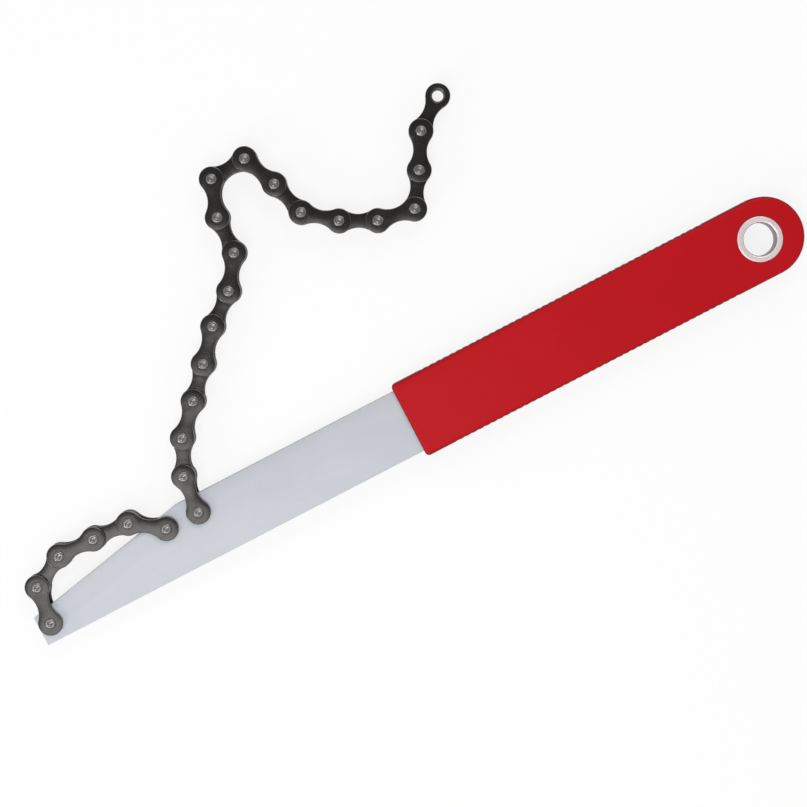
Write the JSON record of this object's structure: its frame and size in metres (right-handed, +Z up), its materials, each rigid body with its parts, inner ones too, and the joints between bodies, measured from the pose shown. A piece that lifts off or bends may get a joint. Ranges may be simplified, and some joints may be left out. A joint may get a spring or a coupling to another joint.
{
  "type": "bicycle chain whip",
  "caption": "Flat steel bar with a ribbed vinyl sleeve grip and hanging eyelet, a short loop of roller chain at the tip and a longer free length of roller chain beside it.",
  "frame": {"origin": "centre of the hanging hole, on the mid-plane that the bar, grip and chain share", "axes": "+X along the bar towards the handle end, +Y towards the side that the chain lies on, +Z up from the surface it lies on"},
  "size_m": [0.2844, 0.1182, 0.0076],
  "materials": {
    "bar_steel": "satin, light grey, fine lengthwise grain",
    "grip_vinyl": "smooth soft vinyl, red, slight sheen",
    "eyelet_metal": "bright plated, rolled edge",
    "chain_plate": "dark grey-brown stamped plate, lightly oiled, semi-gloss",
    "chain_pin": "bare ends, peened, semi-gloss",
    "chain_roller": "turned, lightly oiled"
  },
  "bodies": {
    "handle": {"bar": "bar_steel", "grip": "grip_vinyl", "eyelet": "eyelet_metal"},
    "short_01": {"short_01_outer_plates": "chain_plate", "short_01_pins": "chain_pin"},
    "short_02": {"short_02_inner_plates": "chain_plate"},
    "short_03": {"short_03_outer_plates": "chain_plate", "short_03_pins": "chain_pin"},
    "short_04": {"short_04_inner_plates": "chain_plate"},
    "short_05": {"short_05_outer_plates": "chain_plate", "short_05_pins": "chain_pin"},
    "long_01": {"long_01_outer_plates": "chain_plate", "long_01_pins": "chain_pin"},
    "long_02": {"long_02_inner_plates": "chain_plate"},
    "long_03": {"long_03_outer_plates": "chain_plate", "long_03_pins": "chain_pin"},
    "long_04": {"long_04_inner_plates": "chain_plate"},
    "long_05": {"long_05_outer_plates": "chain_plate", "long_05_pins": "chain_pin"},
    "long_06": {"long_06_inner_plates": "chain_plate"},
    "long_07": {"long_07_outer_plates": "chain_plate", "long_07_pins": "chain_pin"},
    "long_08": {"long_08_inner_plates": "chain_plate"},
    "long_09": {"long_09_outer_plates": "chain_plate", "long_09_pins": "chain_pin"},
    "long_10": {"long_10_inner_plates": "chain_plate"},
    "long_11": {"long_11_outer_plates": "chain_plate", "long_11_pins": "chain_pin"},
    "long_12": {"long_12_inner_plates": "chain_plate"},
    "long_13": {"long_13_outer_plates": "chain_plate", "long_13_pins": "chain_pin"},
    "long_14": {"long_14_inner_plates": "chain_plate"},
    "long_15": {"long_15_outer_plates": "chain_plate", "long_15_pins": "chain_pin"},
    "long_16": {"long_16_inner_plates": "chain_plate"},
    "long_17": {"long_17_outer_plates": "chain_plate", "long_17_pins": "chain_pin"},
    "long_18": {"long_18_inner_plates": "chain_plate"},
    "short_02_near_roller": {"short_02_near_roller": "chain_roller"},
    "short_02_far_roller": {"short_02_far_roller": "chain_roller"},
    "short_04_near_roller": {"short_04_near_roller": "chain_roller"},
    "short_04_far_roller": {"short_04_far_roller": "chain_roller"},
    "long_02_near_roller": {"long_02_near_roller": "chain_roller"},
    "long_02_far_roller": {"long_02_far_roller": "chain_roller"},
    "long_04_near_roller": {"long_04_near_roller": "chain_roller"},
    "long_04_far_roller": {"long_04_far_roller": "chain_roller"},
    "long_06_near_roller": {"long_06_near_roller": "chain_roller"},
    "long_06_far_roller": {"long_06_far_roller": "chain_roller"},
    "long_08_near_roller": {"long_08_near_roller": "chain_roller"},
    "long_08_far_roller": {"long_08_far_roller": "chain_roller"},
    "long_10_near_roller": {"long_10_near_roller": "chain_roller"},
    "long_10_far_roller": {"long_10_far_roller": "chain_roller"},
    "long_12_near_roller": {"long_12_near_roller": "chain_roller"},
    "long_12_far_roller": {"long_12_far_roller": "chain_roller"},
    "long_14_near_roller": {"long_14_near_roller": "chain_roller"},
    "long_14_far_roller": {"long_14_far_roller": "chain_roller"},
    "long_16_near_roller": {"long_16_near_roller": "chain_roller"},
    "long_16_far_roller": {"long_16_far_roller": "chain_roller"},
    "long_18_near_roller": {"long_18_near_roller": "chain_roller"},
    "long_18_far_roller": {"long_18_far_roller": "chain_roller"}
  },
  "joints": [
    {"name": "short_01_hinge", "type": "hinge", "parent": "handle", "child": "short_01", "pos_m": [-0.2653, -0.0048, 0], "axis": [0, 0, 1], "range_deg": [-7.86, 7.86]},
    {"name": "short_02_hinge", "type": "hinge", "parent": "short_01", "child": "short_02", "pos_m": [-0.26366, 0.00779, 0], "axis": [0, 0, 1], "range_deg": [-21.14, 21.14]},
    {"name": "short_03_hinge", "type": "hinge", "parent": "short_02", "child": "short_03", "pos_m": [-0.25239, 0.01365, 0], "axis": [0, 0, 1], "range_deg": [-28, 28]},
    {"name": "short_04_hinge", "type": "hinge", "parent": "short_03", "child": "short_04", "pos_m": [-0.23969, 0.01342, 0], "axis": [0, 0, 1], "range_deg": [-20.87, 20.87]},
    {"name": "short_05_hinge", "type": "hinge", "parent": "short_04", "child": "short_05", "pos_m": [-0.22701, 0.01269, 0], "axis": [0, 0, 1], "range_deg": [-8.26, 8.26]},
    {"name": "long_01_hinge", "type": "hinge", "parent": "handle", "child": "long_01", "pos_m": [-0.2047, 0.00535, 0], "axis": [0, 0, 1], "range_deg": [-21, 44]},
    {"name": "long_02_hinge", "type": "hinge", "parent": "long_01", "child": "long_02", "pos_m": [-0.20359, 0.018, 0], "axis": [0, 0, -1], "range_deg": [-85, 21]},
    {"name": "long_03_hinge", "type": "hinge", "parent": "long_02", "child": "long_03", "pos_m": [-0.19803, 0.02942, 0], "axis": [0, 0, 1], "range_deg": [-23, 75]},
    {"name": "long_04_hinge", "type": "hinge", "parent": "long_03", "child": "long_04", "pos_m": [-0.1892, 0.03855, 0], "axis": [0, 0, -1], "range_deg": [-80, 25]},
    {"name": "long_05_hinge", "type": "hinge", "parent": "long_04", "child": "long_05", "pos_m": [-0.18054, 0.04784, 0], "axis": [0, 0, 1], "range_deg": [-29, 70]},
    {"name": "long_06_hinge", "type": "hinge", "parent": "long_05", "child": "long_06", "pos_m": [-0.17204, 0.05728, 0], "axis": [0, 0, -1], "range_deg": [-80, 33]},
    {"name": "long_07_hinge", "type": "hinge", "parent": "long_06", "child": "long_07", "pos_m": [-0.16204, 0.0651, 0], "axis": [0, 0, 1], "range_deg": [-41, 80]},
    {"name": "long_08_hinge", "type": "hinge", "parent": "long_07", "child": "long_08", "pos_m": [-0.15457, 0.07537, 0], "axis": [0, 0, -1], "range_deg": [-70, 53]},
    {"name": "long_09_hinge", "type": "hinge", "parent": "long_08", "child": "long_09", "pos_m": [-0.15413, 0.08806, 0], "axis": [0, 0, 1], "range_deg": [-60, 90]},
    {"name": "long_10_hinge", "type": "hinge", "parent": "long_09", "child": "long_10", "pos_m": [-0.14999, 0.10007, 0], "axis": [0, 0, -1], "range_deg": [-80, 38]},
    {"name": "long_11_hinge", "type": "hinge", "parent": "long_10", "child": "long_11", "pos_m": [-0.13732, 0.10096, 0], "axis": [0, 0, 1], "range_deg": [-38, 90]},
    {"name": "long_12_hinge", "type": "hinge", "parent": "long_11", "child": "long_12", "pos_m": [-0.13257, 0.08918, 0], "axis": [0, 0, -1], "range_deg": [-90, 70]},
    {"name": "long_13_hinge", "type": "hinge", "parent": "long_12", "child": "long_13", "pos_m": [-0.12907, 0.07697, 0], "axis": [0, 0, 1], "range_deg": [-90, 102]},
    {"name": "long_14_hinge", "type": "hinge", "parent": "long_13", "child": "long_14", "pos_m": [-0.11934, 0.06881, 0], "axis": [0, 0, -1], "range_deg": [-87, 90]},
    {"name": "long_15_hinge", "type": "hinge", "parent": "long_14", "child": "long_15", "pos_m": [-0.10802, 0.06305, 0], "axis": [0, 0, 1], "range_deg": [-95, 80]},
    {"name": "long_16_hinge", "type": "hinge", "parent": "long_15", "child": "long_16", "pos_m": [-0.09552, 0.06084, 0], "axis": [0, 0, -1], "range_deg": [-70, 90]},
    {"name": "long_17_hinge", "type": "hinge", "parent": "long_16", "child": "long_17", "pos_m": [-0.08841, 0.07137, 0], "axis": [0, 0, 1], "range_deg": [-100, 90]},
    {"name": "long_18_hinge", "type": "hinge", "parent": "long_17", "child": "long_18", "pos_m": [-0.08206, 0.08237, 0], "axis": [0, 0, -1], "range_deg": [-80, 85]},
    {"name": "short_02_near_roller_spin", "type": "hinge", "parent": "short_02", "child": "short_02_near_roller", "pos_m": [-0.26366, 0.00779, 0], "axis": [0, 0, 1], "continuous": true},
    {"name": "short_02_far_roller_spin", "type": "hinge", "parent": "short_02", "child": "short_02_far_roller", "pos_m": [-0.25239, 0.01365, 0], "axis": [0, 0, 1], "continuous": true},
    {"name": "short_04_near_roller_spin", "type": "hinge", "parent": "short_04", "child": "short_04_near_roller", "pos_m": [-0.23969, 0.01342, 0], "axis": [0, 0, 1], "continuous": true},
    {"name": "short_04_far_roller_spin", "type": "hinge", "parent": "short_04", "child": "short_04_far_roller", "pos_m": [-0.22701, 0.01269, 0], "axis": [0, 0, 1], "continuous": true},
    {"name": "long_02_near_roller_spin", "type": "hinge", "parent": "long_02", "child": "long_02_near_roller", "pos_m": [-0.20359, 0.018, 0], "axis": [0, 0, 1], "continuous": true},
    {"name": "long_02_far_roller_spin", "type": "hinge", "parent": "long_02", "child": "long_02_far_roller", "pos_m": [-0.19803, 0.02942, 0], "axis": [0, 0, 1], "continuous": true},
    {"name": "long_04_near_roller_spin", "type": "hinge", "parent": "long_04", "child": "long_04_near_roller", "pos_m": [-0.1892, 0.03855, 0], "axis": [0, 0, 1], "continuous": true},
    {"name": "long_04_far_roller_spin", "type": "hinge", "parent": "long_04", "child": "long_04_far_roller", "pos_m": [-0.18054, 0.04784, 0], "axis": [0, 0, 1], "continuous": true},
    {"name": "long_06_near_roller_spin", "type": "hinge", "parent": "long_06", "child": "long_06_near_roller", "pos_m": [-0.17204, 0.05728, 0], "axis": [0, 0, 1], "continuous": true},
    {"name": "long_06_far_roller_spin", "type": "hinge", "parent": "long_06", "child": "long_06_far_roller", "pos_m": [-0.16204, 0.0651, 0], "axis": [0, 0, 1], "continuous": true},
    {"name": "long_08_near_roller_spin", "type": "hinge", "parent": "long_08", "child": "long_08_near_roller", "pos_m": [-0.15457, 0.07537, 0], "axis": [0, 0, 1], "continuous": true},
    {"name": "long_08_far_roller_spin", "type": "hinge", "parent": "long_08", "child": "long_08_far_roller", "pos_m": [-0.15413, 0.08806, 0], "axis": [0, 0, 1], "continuous": true},
    {"name": "long_10_near_roller_spin", "type": "hinge", "parent": "long_10", "child": "long_10_near_roller", "pos_m": [-0.14999, 0.10007, 0], "axis": [0, 0, 1], "continuous": true},
    {"name": "long_10_far_roller_spin", "type": "hinge", "parent": "long_10", "child": "long_10_far_roller", "pos_m": [-0.13732, 0.10096, 0], "axis": [0, 0, 1], "continuous": true},
    {"name": "long_12_near_roller_spin", "type": "hinge", "parent": "long_12", "child": "long_12_near_roller", "pos_m": [-0.13257, 0.08918, 0], "axis": [0, 0, 1], "continuous": true},
    {"name": "long_12_far_roller_spin", "type": "hinge", "parent": "long_12", "child": "long_12_far_roller", "pos_m": [-0.12907, 0.07697, 0], "axis": [0, 0, 1], "continuous": true},
    {"name": "long_14_near_roller_spin", "type": "hinge", "parent": "long_14", "child": "long_14_near_roller", "pos_m": [-0.11934, 0.06881, 0], "axis": [0, 0, 1], "continuous": true},
    {"name": "long_14_far_roller_spin", "type": "hinge", "parent": "long_14", "child": "long_14_far_roller", "pos_m": [-0.10802, 0.06305, 0], "axis": [0, 0, 1], "continuous": true},
    {"name": "long_16_near_roller_spin", "type": "hinge", "parent": "long_16", "child": "long_16_near_roller", "pos_m": [-0.09552, 0.06084, 0], "axis": [0, 0, 1], "continuous": true},
    {"name": "long_16_far_roller_spin", "type": "hinge", "parent": "long_16", "child": "long_16_far_roller", "pos_m": [-0.08841, 0.07137, 0], "axis": [0, 0, 1], "continuous": true},
    {"name": "long_18_near_roller_spin", "type": "hinge", "parent": "long_18", "child": "long_18_near_roller", "pos_m": [-0.08206, 0.08237, 0], "axis": [0, 0, 1], "continuous": true},
    {"name": "long_18_far_roller_spin", "type": "hinge", "parent": "long_18", "child": "long_18_far_roller", "pos_m": [-0.07192, 0.09001, 0], "axis": [0, 0, 1], "continuous": true}
  ],
  "couplings": [
    {"joint": "short_01_hinge", "follows": "short_03_hinge", "ratio": 0.263},
    {"joint": "short_02_hinge", "follows": "short_03_hinge", "ratio": -0.737},
    {"joint": "short_04_hinge", "follows": "short_03_hinge", "ratio": -0.72751},
    {"joint": "short_05_hinge", "follows": "short_03_hinge", "ratio": 0.27724}
  ]
}
